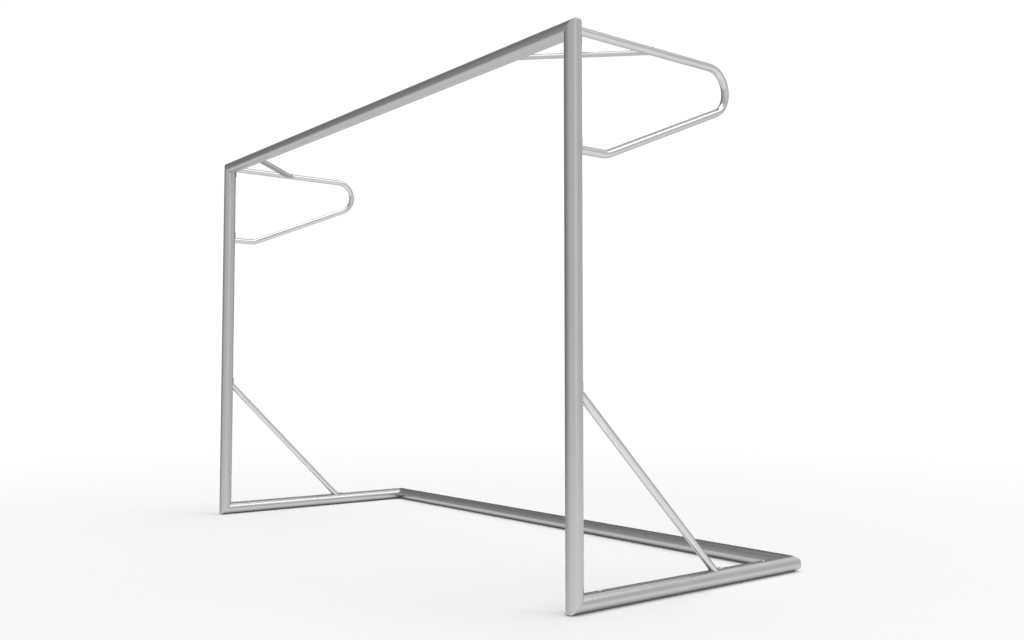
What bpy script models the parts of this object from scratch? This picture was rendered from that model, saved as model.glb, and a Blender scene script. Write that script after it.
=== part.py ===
# A free-standing soccer goal of round aluminium tube: mitred posts, crossbar and ground bars with a slotted
# net rail, bent net brackets behind the posts, and braces that are held on the rail by small bolted lugs.
# X runs along the crossbar, +Y to the back and +Z up, in metres. The origin lies on the ground under the
# middle of the goal.
import math

import bmesh
import bpy
from mathutils import Matrix, Vector

# Overall sizes
CLEAR_WIDTH = 3.0           # between the posts
CLEAR_HEIGHT = 2.0          # from the ground to the underside of the crossbar
GROUND_DEPTH = 1.26         # from the front of the posts to the back of the rear bar

# Section of the posts, the crossbar and the ground bars
BAR_DIAMETER = 0.0635
BAR_WALL = 0.0025
BAR_FACETS = 33             # odd, so that a flat lies opposite the rail
RAIL_WIDTH = 0.014
RAIL_RISE = 0.002           # height of the rail's face over the round
RAIL_CHAMFER = 0.0005
SLOT_WIDTH = 0.0066
SLOT_LIP = 0.0025           # thickness of the lips beside the slot
POCKET_WIDTH = 0.011
POCKET_DEPTH = 0.0056
POCKET_WALL = 0.002

# Elbows inside the mitred corners
CONNECTOR_WALL = 0.003
CONNECTOR_FACETS = 23
CONNECTOR_OVERLAP = 0.022   # past the corner's screw
FRONT_SCREW_REACH = 0.148   # from the post's front face back to the side bar's front screw
REAR_SCREW_REACH = 0.214    # from the rear bar's back face forward to the side bar's rear screw
TOP_SCREW_REACH = 0.148     # from the post's outer face in to the crossbar's screw

# Round tube of the net brackets and the lower braces
TUBE_DIAMETER = 0.03
TUBE_WALL = 0.002
TUBE_FACETS = 18

# Net brackets: a level top leg, a bend at the back, a sloping leg, a knee and a level stub
BRACKET_LEG_DROP = 0.002    # top leg's axis below the crossbar's axis
BRACKET_HEIGHT = 0.424      # from the stub's axis up to the top leg's axis
BRACKET_RUN = 0.7945        # from the post's rail back to the outside of the rear bend
BEND_RADIUS = 0.0925        # on the tube's axis
BEND_STEP = 14.0            # degrees of bend between rings of the tube
KNEE_RUN = 0.1255           # from the post's rail back to the corner of the knee

# Lower braces, between the post's rail and the side bar's rail
LOWER_BRACE_RISE = 0.68
LOWER_BRACE_RUN = 0.68

# Top braces: tube pressed flat, level, from the crossbar's rail out and back to the net bracket's top leg
TOP_BRACE_RUN = 0.3645      # back from the crossbar's rail to the screw in the bracket
TOP_BRACE_SPREAD = 0.3645   # sideways between the same two points
TOP_BRACE_HEIGHT = 0.011
TOP_BRACE_WIDTH = 0.0405
TOP_BRACE_WALL = 0.002
TOP_BRACE_DROP = 0.0035     # brace's middle below the top leg's axis
ROUND_EDGE_STEPS = 6
TONGUE_WIDTH = 0.02
TONGUE_GRIP = 0.062         # length of the tongue from the screw back into the brace
TONGUE_TIP = 0.006          # length of the tongue past the screw

# Lugs and fasteners
LUG_REACH = 0.041           # from the tube's axis along the rail to the lug's bolt
LUG_WIDTH = 0.018
LUG_THICKNESS = 0.003
LUG_END_STEPS = 8
LUG_SEAT_STEPS = 6          # along the hollow end that follows the tube
BOLT_DIAMETER = 0.006
BOLT_FACETS = 12
BOLT_HEAD_DIAMETER = 0.012
BOLT_HEAD_HEIGHT = 0.003
SCREW_HEAD_HEIGHT = 0.002
SCREW_TIP = 0.003           # length of a corner's screw past its elbow
HEAD_RIM = 0.4              # share of a head's height that its upright rim takes
HEAD_STEPS = 2
TIP_CHAMFER = 0.0008
NUT_LENGTH = 0.014

TOP_BRACE_SCREW_TIP = 0.0015    # length of the top brace's screw past its tongue

# Clearance
CLEARANCE = 0.0003          # between faces that touch on the real goal

# Looks: grey level and roughness of each metal
BAR_LOOK = (0.62, 0.32)
TUBE_LOOK = (0.72, 0.28)
LUG_LOOK = (0.66, 0.30)
CASTING_LOOK = (0.55, 0.45)
TONGUE_LOOK = (0.60, 0.40)
SCREW_LOOK = (0.70, 0.25)
NUT_LOOK = (0.50, 0.45)
BLUE_CAST = 1.01            # blue over red and green
MERGE_DISTANCE = 0.00003    # points of a turned shape's axis that become one
SHARP_ANGLE = 35.0          # degrees between faces past which an edge is shaded sharp

# Places that follow from the sizes
BAR_RADIUS = BAR_DIAMETER / 2
RAIL_FACE = BAR_RADIUS + RAIL_RISE
POCKET_FLOOR = RAIL_FACE - SLOT_LIP - POCKET_DEPTH
TUBE_RADIUS = TUBE_DIAMETER / 2
SIDE_X = CLEAR_WIDTH / 2 + BAR_RADIUS
TOP_Z = CLEAR_HEIGHT + BAR_RADIUS
GROUND_Z = BAR_RADIUS
FRONT_Y = BAR_RADIUS - GROUND_DEPTH / 2
REAR_Y = GROUND_DEPTH / 2 - BAR_RADIUS
LEG_Z = TOP_Z - BRACKET_LEG_DROP
STUB_Z = LEG_Z - BRACKET_HEIGHT
HOLE_RADIUS = BOLT_DIAMETER / 2 + CLEARANCE
SIDES = (("left", -1), ("right", 1))

X = Vector((1, 0, 0))
Y = Vector((0, 1, 0))
Z = Vector((0, 0, 1))


def clear_scene():
    for old in list(bpy.data.objects):
        bpy.data.objects.remove(old, do_unlink=True)


def metal(name, look):
    grey, roughness = look
    material = bpy.data.materials.new(name)
    material.use_nodes = True
    shader = material.node_tree.nodes["Principled BSDF"]
    shader.inputs["Base Color"].default_value = (grey, grey, grey * BLUE_CAST, 1)
    shader.inputs["Metallic"].default_value = 1
    shader.inputs["Roughness"].default_value = roughness
    return material


def frame_at(origin, along, up):
    """Placement whose third axis runs along and whose second axis points up; the first completes them."""
    third = Vector(along).normalized()
    second = Vector(up).normalized()
    first = second.cross(third)
    matrix = Matrix((first, second, third)).transposed().to_4x4()
    matrix.translation = origin
    return matrix


def add_object(name, mesh, place, look=None):
    body = bpy.data.objects.new(name, mesh)
    bpy.context.scene.collection.objects.link(body)
    body.matrix_world = place
    if look is not None:
        mesh.materials.append(metal(name, look))
    return body


def finish_mesh(bm, name):
    bmesh.ops.recalc_face_normals(bm, faces=bm.faces)
    mesh = bpy.data.meshes.new(name)
    bm.to_mesh(mesh)
    bm.free()
    mesh.shade_smooth()
    mesh.set_sharp_from_angle(angle=math.radians(SHARP_ANGLE))
    return mesh


def arc(radius, start, end, steps, centre=(0.0, 0.0)):
    """Points on an arc from one angle to another, both in radians."""
    angles = [start + (end - start) * step / steps for step in range(steps + 1)]
    return [(centre[0] + radius * math.cos(angle), centre[1] + radius * math.sin(angle)) for angle in angles]


def circle(radius, facets, centre=(0.0, 0.0)):
    return arc(radius, 0, 2 * math.pi, facets, centre)[:-1]


def open_round(radius, half_gap, facets=BAR_FACETS, outside=False):
    """The round of a bar, open over a gap at its top; outside lays its flats, not its edges, on the radius."""
    gap = math.asin(half_gap / radius)
    half_step = (math.pi - gap) / facets
    if outside:
        radius /= math.cos(half_step)
    return arc(radius, math.pi / 2 + gap, 2.5 * math.pi - gap, facets)


def bar_outline():
    """Outside of a bar: its round, the net rail on top, the rail's slot and the pocket under it."""
    rail = RAIL_WIDTH / 2
    slot = SLOT_WIDTH / 2
    pocket = POCKET_WIDTH / 2
    lip = RAIL_FACE - SLOT_LIP
    right = [
        (rail, RAIL_FACE - RAIL_CHAMFER),
        (rail - RAIL_CHAMFER, RAIL_FACE),
        (slot, RAIL_FACE),
        (slot, lip),
        (pocket, lip),
        (pocket, POCKET_FLOOR),
    ]
    left = [(-across, up) for across, up in reversed(right)]
    return open_round(BAR_RADIUS, rail, outside=True) + right + left


def hollow_outline(inset=0.0, facets=BAR_FACETS):
    """Inside of a bar, which passes under the pocket; with an inset, the outline of what slides in."""
    half = POCKET_WIDTH / 2 + POCKET_WALL + inset
    level = POCKET_FLOOR - POCKET_WALL - inset
    return open_round(BAR_RADIUS - BAR_WALL - inset, half, facets) + [(half, level), (-half, level)]


def seat_outline():
    """Outside of a bar without its slot, larger by the clearance: what a tube is coped to."""
    rail = RAIL_WIDTH / 2 + CLEARANCE
    face = RAIL_FACE + CLEARANCE
    return open_round(BAR_RADIUS + CLEARANCE, rail, outside=True) + [(rail, face), (-rail, face)]


def flat_oval(width, height):
    """Outline of a tube pressed flat: two round edges and two flats."""
    middle = (width - height) / 2
    right = arc(height / 2, -math.pi / 2, math.pi / 2, ROUND_EDGE_STEPS, (middle, 0))
    left = arc(height / 2, math.pi / 2, 1.5 * math.pi, ROUND_EDGE_STEPS, (-middle, 0))
    return right + left


def section_faces(bm, outlines):
    """Fills the area between closed outlines in the XY plane."""
    edges = []
    for outline in outlines:
        verts = [bm.verts.new((across, up, 0)) for across, up in outline]
        edges += [bm.edges.new(pair) for pair in zip(verts, verts[1:] + verts[:1])]
    bmesh.ops.triangle_fill(bm, use_beauty=True, edges=edges)
    return bm.faces[:]


def extrude_faces(bm, faces):
    """Extrudes faces in place; returns the new faces and their vertices, which are still to be moved."""
    grown = bmesh.ops.extrude_face_region(bm, geom=faces)["geom"]
    new_faces = [part for part in grown if isinstance(part, bmesh.types.BMFace)]
    new_verts = [part for part in grown if isinstance(part, bmesh.types.BMVert)]
    return new_faces, new_verts


def set_plane(verts, level, slope):
    """Moves vertices along the third axis on to a plane: a level plus a slope in each of the other two."""
    for vert in verts:
        vert.co.z = level + slope[0] * vert.co.x + slope[1] * vert.co.y


def prism_mesh(name, outlines, start, end, start_slope=(0, 0), end_slope=(0, 0)):
    """A section carried along the third axis between two planes, which may slope as mitre cuts do."""
    bm = bmesh.new()
    faces = section_faces(bm, outlines)
    first = bm.verts[:]
    last = extrude_faces(bm, faces)[1]
    set_plane(first, start, start_slope)
    set_plane(last, end, end_slope)
    return finish_mesh(bm, name)


def elbow_mesh(name, outlines, arm, second_arm, axis, turn):
    """A section that comes along the third axis, turns square at a mitre and goes on along another axis.

    The mitre's plane is third = turn * first (axis 0) or third = turn * second (axis 1), and the second arm
    runs towards -turn on that axis.
    """
    bm = bmesh.new()
    faces = section_faces(bm, outlines)
    first = bm.verts[:]
    corner_faces, corner = extrude_faces(bm, faces)
    set_plane(first, -arm, (0, 0))
    slope = (turn, 0) if axis == 0 else (0, turn)
    set_plane(corner, 0, slope)
    last = extrude_faces(bm, corner_faces)[1]
    bmesh.ops.delete(bm, geom=corner_faces, context='FACES_ONLY')
    for vert in last:
        vert.co[axis] = -turn * second_arm
    return finish_mesh(bm, name)


def turned_mesh(name, profile):
    """A profile of (radius, height) points, turned about the third axis."""
    bm = bmesh.new()
    verts = [bm.verts.new((radius, 0, height)) for radius, height in profile]
    edges = [bm.edges.new(pair) for pair in zip(verts, verts[1:])]
    bmesh.ops.spin(bm, geom=verts + edges, cent=(0, 0, 0), axis=(0, 0, 1), angle=2 * math.pi,
                   steps=BOLT_FACETS, use_merge=True)
    bmesh.ops.remove_doubles(bm, verts=bm.verts, dist=MERGE_DISTANCE)
    return finish_mesh(bm, name)


def bolt_mesh(name, head_height, shank_length):
    """A low domed head with its seat at height 0 and its shank below."""
    head = BOLT_HEAD_DIAMETER / 2
    shank = BOLT_DIAMETER / 2
    rim = head_height * HEAD_RIM
    dome = []
    for step in range(HEAD_STEPS + 1):
        angle = math.pi / 2 * step / HEAD_STEPS
        dome.append((head * math.sin(angle), rim + (head_height - rim) * math.cos(angle)))
    stem = [
        (head, 0),
        (shank, 0),
        (shank, TIP_CHAMFER - shank_length),
        (shank - TIP_CHAMFER, -shank_length),
        (0, -shank_length),
    ]
    return turned_mesh(name, dome + stem)


def copies(mesh, places, look):
    """One object for each name and place, all sharing a mesh and its material."""
    mesh.materials.append(metal(mesh.name, look))
    for name, place in places.items():
        add_object(name, mesh, place)


def cutter(name, mesh, place):
    tool = add_object(name, mesh, place)
    tool.hide_render = True
    tool.display_type = 'WIRE'
    return tool


def cut(body, tool):
    """Takes the tool's shape out of the body."""
    boolean = body.modifiers.new(tool.name, 'BOOLEAN')
    boolean.operation = 'DIFFERENCE'
    boolean.solver = 'EXACT'
    boolean.object = tool


def hole_cutter(name, place, start, end):
    return cutter(name, prism_mesh(name, [circle(HOLE_RADIUS, BOLT_FACETS)], start, end), place)


def bar_places():
    """Each bar's placement, length between corner axes, and the mitre slopes at its two ends."""
    left_foot = Vector((-SIDE_X, FRONT_Y, GROUND_Z))
    right_foot = Vector((SIDE_X, FRONT_Y, GROUND_Z))
    left_top = Vector((-SIDE_X, FRONT_Y, TOP_Z))
    left_rear = Vector((-SIDE_X, REAR_Y, GROUND_Z))
    height = TOP_Z - GROUND_Z
    width = 2 * SIDE_X
    depth = REAR_Y - FRONT_Y
    return {
        "left_post": (frame_at(left_foot, Z, Y), height, (0, 1), (-1, 0)),
        "right_post": (frame_at(right_foot, Z, Y), height, (0, 1), (1, 0)),
        "crossbar": (frame_at(left_top, X, Y), width, (1, 0), (-1, 0)),
        "left_side_bar": (frame_at(left_foot, Y, Z), depth, (0, 1), (1, 0)),
        "right_side_bar": (frame_at(right_foot, Y, Z), depth, (0, 1), (-1, 0)),
        "rear_bar": (frame_at(left_rear, X, Z), width, (-1, 0), (1, 0)),
    }


def make_bars():
    """The six mitred bars, and for each a cutter that copes tubes to it."""
    half_gap = CLEARANCE / math.sqrt(2)
    bars = {}
    seats = {}
    for name, (place, length, start_slope, end_slope) in bar_places().items():
        mesh = prism_mesh(name, [bar_outline(), hollow_outline()], half_gap, length - half_gap,
                          start_slope, end_slope)
        bars[name] = add_object(name, mesh, place, BAR_LOOK)
        seat_name = name + "_seat"
        seat = prism_mesh(seat_name, [seat_outline()], -CLEARANCE, length + CLEARANCE, start_slope, end_slope)
        seats[name] = cutter(seat_name, seat, place)
    return bars, seats


def corner_screw_places(side):
    """Places of the screws on the rails' faces, each looking out of the rail."""
    x = side * SIDE_X
    rail_z = GROUND_Z + RAIL_FACE
    rail_y = FRONT_Y + RAIL_FACE
    return {
        "front": frame_at(Vector((x, FRONT_SCREW_REACH - GROUND_DEPTH / 2, rail_z)), Z, Y),
        "rear": frame_at(Vector((x, GROUND_DEPTH / 2 - REAR_SCREW_REACH, rail_z)), Z, Y),
        "top": frame_at(Vector((x + side * (BAR_RADIUS - TOP_SCREW_REACH), rail_y, TOP_Z)), Y, Z),
    }


def make_corner(word, side, kind, bars, place, arm, axis, turn, held_bar):
    """One elbow inside a mitred corner, with the hole that its screw passes in the elbow and in the bar."""
    name = word + "_" + kind + "_connector"
    outlines = [
        hollow_outline(CLEARANCE, CONNECTOR_FACETS),
        hollow_outline(CLEARANCE + CONNECTOR_WALL, CONNECTOR_FACETS),
    ]
    elbow = add_object(name, elbow_mesh(name, outlines, arm, arm, axis, turn), place, CASTING_LOOK)
    screw = corner_screw_places(side)[kind]
    from_pocket = -SLOT_LIP - POCKET_DEPTH / 2
    past_elbow = from_pocket - POCKET_DEPTH - POCKET_WALL - CONNECTOR_WALL - SCREW_TIP
    tool = hole_cutter(name + "_hole", screw, past_elbow, from_pocket)
    cut(elbow, tool)
    cut(bars[held_bar], tool)


def make_corners(bars):
    """The six inner elbows and the screws that hold them."""
    screws = {}
    for word, side in SIDES:
        x = side * SIDE_X
        side_bar = word + "_side_bar"
        front_arm = FRONT_SCREW_REACH - BAR_RADIUS + CONNECTOR_OVERLAP
        rear_arm = REAR_SCREW_REACH - BAR_RADIUS + CONNECTOR_OVERLAP
        top_arm = TOP_SCREW_REACH - BAR_RADIUS + CONNECTOR_OVERLAP
        front = frame_at(Vector((x, FRONT_Y, GROUND_Z)), -Y, Z)
        rear = frame_at(Vector((x, REAR_Y, GROUND_Z)), Y, Z)
        top = frame_at(Vector((x, FRONT_Y, TOP_Z)), Z, Y)
        make_corner(word, side, "front", bars, front, front_arm, 1, -1, side_bar)
        make_corner(word, side, "rear", bars, rear, rear_arm, 0, -side, side_bar)
        make_corner(word, side, "top", bars, top, top_arm, 0, side, "crossbar")
        for kind, place in corner_screw_places(side).items():
            screws[word + "_" + kind + "_screw"] = place @ Matrix.Translation((0, 0, CLEARANCE))
    through = SLOT_LIP + POCKET_DEPTH + POCKET_WALL + CONNECTOR_WALL
    mesh = bolt_mesh("corner_screw", SCREW_HEAD_HEIGHT, through + 2 * CLEARANCE + SCREW_TIP)
    copies(mesh, screws, SCREW_LOOK)


def rounded_path(corners, radius):
    """A line through the corners, with an arc of the bend radius at each inner one."""
    points = [corners[0]]
    for before, corner, after in zip(corners, corners[1:], corners[2:]):
        arrive = (corner - before).normalized()
        leave = (after - corner).normalized()
        bend = arrive.angle(leave)
        tangent = radius * math.tan(bend / 2)
        centre = corner - arrive * tangent + (leave - arrive * leave.dot(arrive)).normalized() * radius
        start = corner - arrive * tangent - centre
        axis = arrive.cross(leave).normalized()
        steps = max(1, round(math.degrees(bend) / BEND_STEP))
        for step in range(steps + 1):
            points.append(centre + Matrix.Rotation(bend * step / steps, 3, axis) @ start)
    points.append(corners[-1])
    return points


def tube_along(name, points, place, look):
    """A round tube with open ends along a line of points."""
    curve = bpy.data.curves.new(name + "_path", 'CURVE')
    curve.dimensions = '3D'
    curve.twist_mode = 'MINIMUM'
    curve.bevel_depth = TUBE_RADIUS
    curve.bevel_resolution = (TUBE_FACETS - 4) // 2
    curve.use_fill_caps = False
    spline = curve.splines.new('POLY')
    spline.points.add(len(points) - 1)
    for knot, point in zip(spline.points, points):
        knot.co = (*point, 1)
    path = bpy.data.objects.new(name + "_path", curve)
    bpy.context.scene.collection.objects.link(path)
    bpy.context.view_layer.update()
    mesh = bpy.data.meshes.new_from_object(path.evaluated_get(bpy.context.evaluated_depsgraph_get()))
    bpy.data.objects.remove(path, do_unlink=True)
    mesh.name = name
    mesh.shade_smooth()
    tube = add_object(name, mesh, place, look)
    wall = tube.modifiers.new("wall", 'SOLIDIFY')
    wall.thickness = TUBE_WALL
    wall.offset = -1
    wall.use_even_offset = True
    return tube


def bracket_corners():
    """Corners of the net bracket's axis in its own upright plane, from the post's axis and back to it."""
    rail = FRONT_Y + RAIL_FACE
    knee = Vector((0, rail + KNEE_RUN, STUB_Z))
    bend_centre = Vector((0, rail + BRACKET_RUN - TUBE_RADIUS - BEND_RADIUS, LEG_Z - BEND_RADIUS))
    reach = bend_centre - knee
    slope = math.atan2(reach.z, reach.y) - math.asin(BEND_RADIUS / reach.length)
    rear_y = knee.y + (LEG_Z - STUB_Z) / math.tan(slope)
    return [
        Vector((0, FRONT_Y, LEG_Z)),
        Vector((0, rear_y, LEG_Z)),
        knee,
        Vector((0, FRONT_Y, STUB_Z)),
    ]


def make_net_brackets(seats):
    brackets = {}
    for word, side in SIDES:
        name = word + "_net_bracket"
        place = Matrix.Translation((side * SIDE_X, 0, 0))
        points = rounded_path(bracket_corners(), BEND_RADIUS)
        brackets[word] = tube_along(name, points, place, TUBE_LOOK)
        cut(brackets[word], seats[word + "_post"])
        cut(brackets[word], seats["crossbar"])
    return brackets


def make_lower_braces(seats):
    """Round tubes from the post's rail down and back to the side bar's rail, coped at both ends."""
    # the ends lie in the planes of the two bars' axes, inside the copes
    down = Vector((0, LOWER_BRACE_RUN, -LOWER_BRACE_RISE))
    into_post = RAIL_FACE / LOWER_BRACE_RUN
    into_bar = RAIL_FACE / LOWER_BRACE_RISE
    top_z = GROUND_Z + RAIL_FACE + LOWER_BRACE_RISE * (1 + into_post)
    length = down.length * (1 + into_post + into_bar)
    start_slope = (-LOWER_BRACE_RISE / LOWER_BRACE_RUN, 0)
    end_slope = (LOWER_BRACE_RUN / LOWER_BRACE_RISE, 0)
    outlines = [circle(TUBE_RADIUS, TUBE_FACETS), circle(TUBE_RADIUS - TUBE_WALL, TUBE_FACETS)]
    for word, side in SIDES:
        name = word + "_lower_brace"
        place = frame_at(Vector((side * SIDE_X, FRONT_Y, top_z)), down, X)
        mesh = prism_mesh(name, outlines, 0, length, start_slope, end_slope)
        brace = add_object(name, mesh, place, TUBE_LOOK)
        cut(brace, seats[word + "_post"])
        cut(brace, seats[word + "_side_bar"])


def top_brace_frame(side):
    """Placement at the screw in the bracket: third axis out along the brace, second axis up."""
    origin = Vector((side * SIDE_X, FRONT_Y + RAIL_FACE + TOP_BRACE_RUN, LEG_Z - TOP_BRACE_DROP))
    return frame_at(origin, Vector((side * TOP_BRACE_SPREAD, TOP_BRACE_RUN, 0)), Z)


def make_top_braces(seats, brackets):
    """Flat-pressed tubes from the crossbar's rail to the net brackets, each held by a tongue and a screw."""
    outer = flat_oval(TOP_BRACE_WIDTH, TOP_BRACE_HEIGHT)
    inner = flat_oval(TOP_BRACE_WIDTH - 2 * TOP_BRACE_WALL, TOP_BRACE_HEIGHT - 2 * TOP_BRACE_WALL)
    length = math.hypot(TOP_BRACE_RUN, TOP_BRACE_SPREAD) * (1 + RAIL_FACE / TOP_BRACE_RUN)
    tongue_height = TOP_BRACE_HEIGHT - 2 * TOP_BRACE_WALL - 2 * CLEARANCE
    seat_radius = (TUBE_RADIUS + CLEARANCE) / math.cos(math.pi / TUBE_FACETS)
    screws = {}
    for word, side in SIDES:
        place = top_brace_frame(side)
        name = word + "_top_brace"
        # the ends lie in the upright planes of the crossbar's and the bracket leg's axes
        front_slope = (-side * TOP_BRACE_SPREAD / TOP_BRACE_RUN, 0)
        rear_slope = (side * TOP_BRACE_RUN / TOP_BRACE_SPREAD, 0)
        mesh = prism_mesh(name, [outer, inner], -length, 0, front_slope, rear_slope)
        brace = add_object(name, mesh, place, TUBE_LOOK)
        cut(brace, seats["crossbar"])
        # the leg's seat reaches as far behind the screw as in front of it
        leg_place = frame_at(Vector((side * SIDE_X, place.translation.y, LEG_Z)), Y, Z)
        leg_seat = prism_mesh(word + "_leg_seat", [circle(seat_radius, TUBE_FACETS)], -TOP_BRACE_RUN,
                              TOP_BRACE_RUN)
        cut(brace, cutter(word + "_leg_seat", leg_seat, leg_place))
        # turned so that the second axis runs back along the brace and the third points up
        flat = place @ Matrix.Rotation(-math.pi / 2, 4, 'X')
        make_tongue(word, flat, tongue_height, brackets[word])
        crown = Vector((side * SIDE_X, place.translation.y, LEG_Z + TUBE_RADIUS))
        screw = frame_at(crown, Z, Y)
        # the hole passes the wall at the crown alone, and the slot below it is the tongue's
        cut(brackets[word], hole_cutter(word + "_bracket_hole", screw, -TUBE_RADIUS / 2, TUBE_RADIUS))
        screws[word + "_top_brace_screw"] = screw @ Matrix.Translation((0, 0, CLEARANCE))
    reach = TUBE_RADIUS + TOP_BRACE_DROP + tongue_height / 2 + CLEARANCE + TOP_BRACE_SCREW_TIP
    mesh = bolt_mesh("top_brace_screw", SCREW_HEAD_HEIGHT, reach)
    copies(mesh, screws, SCREW_LOOK)


def rectangle(half_width, low, high):
    return [(-half_width, low), (half_width, low), (half_width, high), (-half_width, high)]


def make_tongue(word, place, height, bracket):
    """The flat bar in a top brace's end, and the slot in the bracket that it slides into."""
    name = word + "_brace_tongue"
    outlines = [rectangle(TONGUE_WIDTH / 2, -TONGUE_TIP, TONGUE_GRIP), circle(HOLE_RADIUS, BOLT_FACETS)]
    add_object(name, prism_mesh(name, outlines, -height / 2, height / 2), place, TONGUE_LOOK)
    slot_name = word + "_tongue_slot"
    room = rectangle(TONGUE_WIDTH / 2 + CLEARANCE, -TONGUE_TIP, TONGUE_GRIP)
    half = height / 2 + CLEARANCE
    cut(bracket, cutter(slot_name, prism_mesh(slot_name, [room], -half, half), place))


def lug_seats():
    """Where each lug starts: the point where a tube's axis meets the rail, the lug's way along the rail, the
    rail's outward normal, and half the tube's section there, along the rail and across it."""
    seats = {}
    rail_y = FRONT_Y + RAIL_FACE
    rail_z = GROUND_Z + RAIL_FACE
    slope = math.atan2(LOWER_BRACE_RUN, LOWER_BRACE_RISE)
    spread = math.atan2(TOP_BRACE_RUN, TOP_BRACE_SPREAD)
    for word, side in SIDES:
        x = side * SIDE_X
        seats[word + "_bracket_top_lug"] = (Vector((x, rail_y, LEG_Z)), -Z, Y, TUBE_RADIUS, TUBE_RADIUS)
        seats[word + "_bracket_stub_lug"] = (Vector((x, rail_y, STUB_Z)), Z, Y, TUBE_RADIUS, TUBE_RADIUS)
        brace_top = Vector((x, rail_y, rail_z + LOWER_BRACE_RISE))
        seats[word + "_lower_brace_top_lug"] = (brace_top, Z, Y, TUBE_RADIUS / math.sin(slope), TUBE_RADIUS)
        brace_foot = Vector((x, rail_y + LOWER_BRACE_RUN, rail_z))
        seats[word + "_lower_brace_foot_lug"] = (brace_foot, Y, Z, TUBE_RADIUS / math.cos(slope), TUBE_RADIUS)
        brace_front = Vector((x - side * TOP_BRACE_SPREAD, rail_y, TOP_Z))
        half_brace = TOP_BRACE_WIDTH / 2 / math.sin(spread)
        seats[word + "_top_brace_lug"] = (brace_front, -side * X, Y, half_brace, TOP_BRACE_HEIGHT / 2)
    return seats


def lug_seat_edge(half_tube, half_across):
    """The lug's end at the tube: hollow where the tube is wider than the lug, and square where it isn't."""
    half = LUG_WIDTH / 2
    along = half_tube + CLEARANCE
    across = half_across + CLEARANCE
    if across <= half:
        return [(-half, along), (half, along)]
    places = [half * (2 * step / LUG_SEAT_STEPS - 1) for step in range(LUG_SEAT_STEPS + 1)]
    return [(place, along * math.sqrt(1 - (place / across) ** 2)) for place in places]


def make_lugs():
    """Small plates on the rail beside each tube's end, with their bolts and the nuts in the rail's pocket."""
    bolts = {}
    nuts = {}
    seat = CLEARANCE + LUG_THICKNESS + CLEARANCE
    for name, (origin, along, normal, half_tube, half_across) in lug_seats().items():
        place = frame_at(origin, normal, along)
        round_end = arc(LUG_WIDTH / 2, 0, math.pi, LUG_END_STEPS, (0, LUG_REACH))
        outline = lug_seat_edge(half_tube, half_across) + round_end
        hole = circle(HOLE_RADIUS, BOLT_FACETS, (0, LUG_REACH))
        mesh = prism_mesh(name, [outline, hole], CLEARANCE, CLEARANCE + LUG_THICKNESS)
        add_object(name, mesh, place, LUG_LOOK)
        bolts[name.replace("lug", "bolt")] = place @ Matrix.Translation((0, LUG_REACH, seat))
        nuts[name.replace("lug", "nut")] = place @ Matrix.Translation((0, LUG_REACH, -SLOT_LIP - CLEARANCE))
    shank = seat + SLOT_LIP + POCKET_DEPTH - CLEARANCE
    copies(bolt_mesh("lug_bolt", BOLT_HEAD_HEIGHT, shank), bolts, SCREW_LOOK)
    nut_outline = rectangle(POCKET_WIDTH / 2 - CLEARANCE, -NUT_LENGTH / 2, NUT_LENGTH / 2)
    nut = prism_mesh("rail_nut", [nut_outline, circle(HOLE_RADIUS, BOLT_FACETS)],
                     2 * CLEARANCE - POCKET_DEPTH, 0)
    copies(nut, nuts, NUT_LOOK)


def main():
    clear_scene()
    bars, seats = make_bars()
    make_corners(bars)
    brackets = make_net_brackets(seats)
    make_lower_braces(seats)
    make_top_braces(seats, brackets)
    make_lugs()


main()
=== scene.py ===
# Looks of a free-standing soccer goal: smooth bars and tubes, their fastenings and the satin aluminium.
import math

import bpy
import numpy as np
from mathutils.geometry import tessellate_polygon
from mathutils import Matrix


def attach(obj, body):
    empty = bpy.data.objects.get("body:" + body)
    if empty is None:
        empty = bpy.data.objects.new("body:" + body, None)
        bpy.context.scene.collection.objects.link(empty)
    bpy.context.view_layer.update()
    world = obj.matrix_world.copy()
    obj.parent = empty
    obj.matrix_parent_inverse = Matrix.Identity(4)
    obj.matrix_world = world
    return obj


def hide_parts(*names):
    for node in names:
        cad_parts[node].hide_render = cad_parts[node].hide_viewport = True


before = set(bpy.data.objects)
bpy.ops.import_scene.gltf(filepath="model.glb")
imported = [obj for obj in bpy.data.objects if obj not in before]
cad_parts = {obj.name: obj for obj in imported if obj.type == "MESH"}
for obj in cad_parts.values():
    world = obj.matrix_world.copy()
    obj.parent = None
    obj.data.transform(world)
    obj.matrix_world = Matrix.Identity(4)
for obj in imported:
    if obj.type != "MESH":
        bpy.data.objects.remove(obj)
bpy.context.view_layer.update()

# the photograph's view, in metres and degrees
view = {
    "place": (4.1169, -2.8875, 0.8268),
    "turn": (92.978, 0.013, 52.017),
    "lens": 35.058,
    "sensor": 36.0,
}


def makeCamera():
    lens = bpy.data.cameras.new("camera")
    lens.lens = view["lens"]
    lens.sensor_width = view["sensor"]
    lens.sensor_fit = 'HORIZONTAL'
    camera = bpy.data.objects.new("camera", lens)
    camera.location = view["place"]
    camera.rotation_euler = [math.radians(angle) for angle in view["turn"]]
    bpy.context.scene.collection.objects.link(camera)
    bpy.context.scene.camera = camera
    print("camera made")


makeCamera()

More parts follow.
